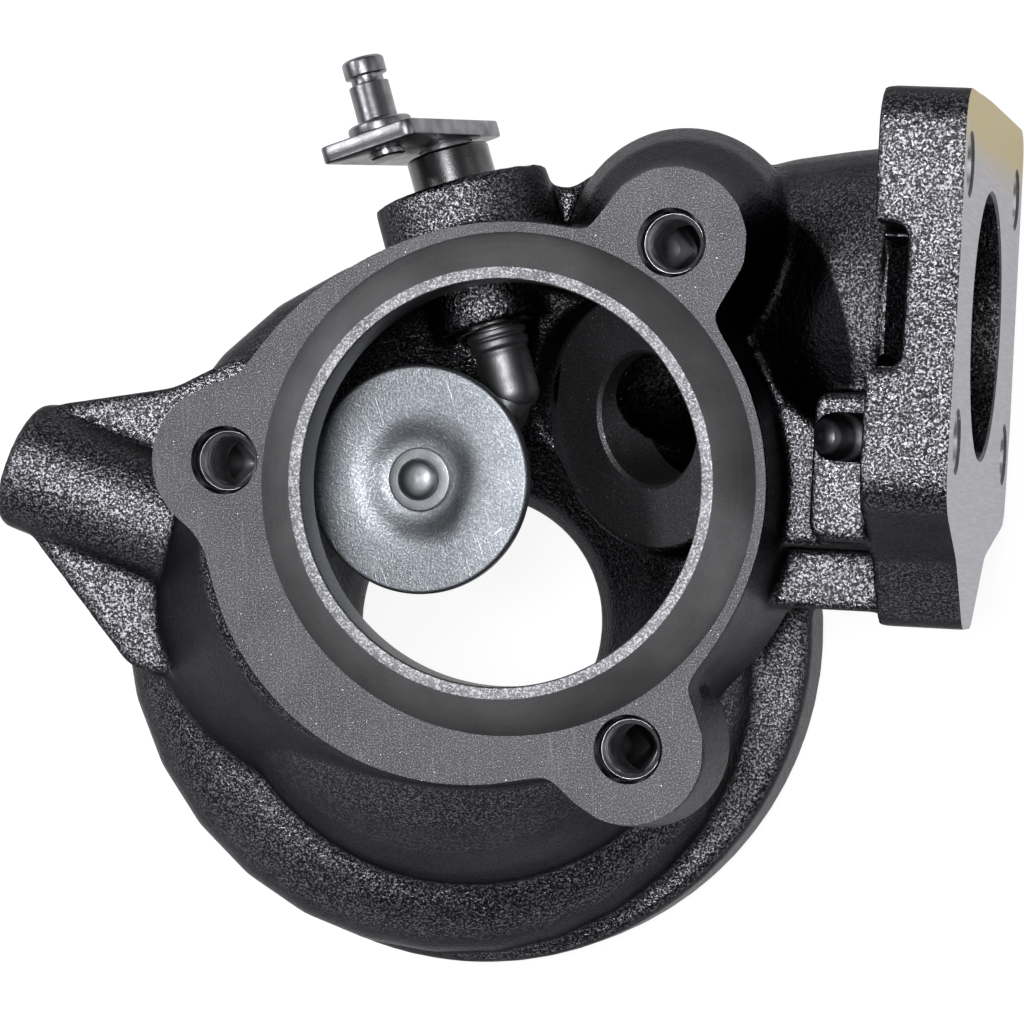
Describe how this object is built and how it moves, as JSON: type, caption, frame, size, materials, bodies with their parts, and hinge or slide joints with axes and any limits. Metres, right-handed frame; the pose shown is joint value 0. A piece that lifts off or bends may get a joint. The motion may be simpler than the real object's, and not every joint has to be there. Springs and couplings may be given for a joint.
{
  "type": "turbocharger turbine housing",
  "caption": "Cast turbine housing with a spiral gas passage, flanged inlet and outlet, and a swinging wastegate valve worked by an outside crank.",
  "frame": {"origin": "middle of the footprint, on the rear face", "axes": "+Z along the turbine axis out of the outlet, +X out of the inlet flange, +Y towards the wastegate crank"},
  "size_m": [0.1418, 0.1278, 0.0783],
  "materials": {
    "cast_iron": "rough sand casting, dark grey, with turned and milled faces",
    "turned_steel": "turned, light grey",
    "valve_steel": "turned, fine scratches, slightly blue"
  },
  "bodies": {
    "housing": {"turbine_housing": "cast_iron", "wastegate_bush": "turned_steel"},
    "valve_arm": {"wastegate_arm": "turned_steel", "valve_washer": "turned_steel", "crank_lever": "turned_steel", "crank_pin": "turned_steel"},
    "valve": {"valve_disc": "valve_steel"}
  },
  "joints": [
    {"name": "wastegate_hinge", "type": "hinge", "parent": "housing", "child": "valve_arm", "pos_m": [0.00352, 0.02532, 0.044], "axis": [-0.3156, 0.9489, 0], "range_deg": [0, 150]},
    {"name": "valve_turn", "type": "hinge", "parent": "valve_arm", "child": "valve", "pos_m": [-0.00508, 0.0055, 0.05294], "axis": [-0.0992, -0.033, 0.9945], "continuous": true}
  ]
}
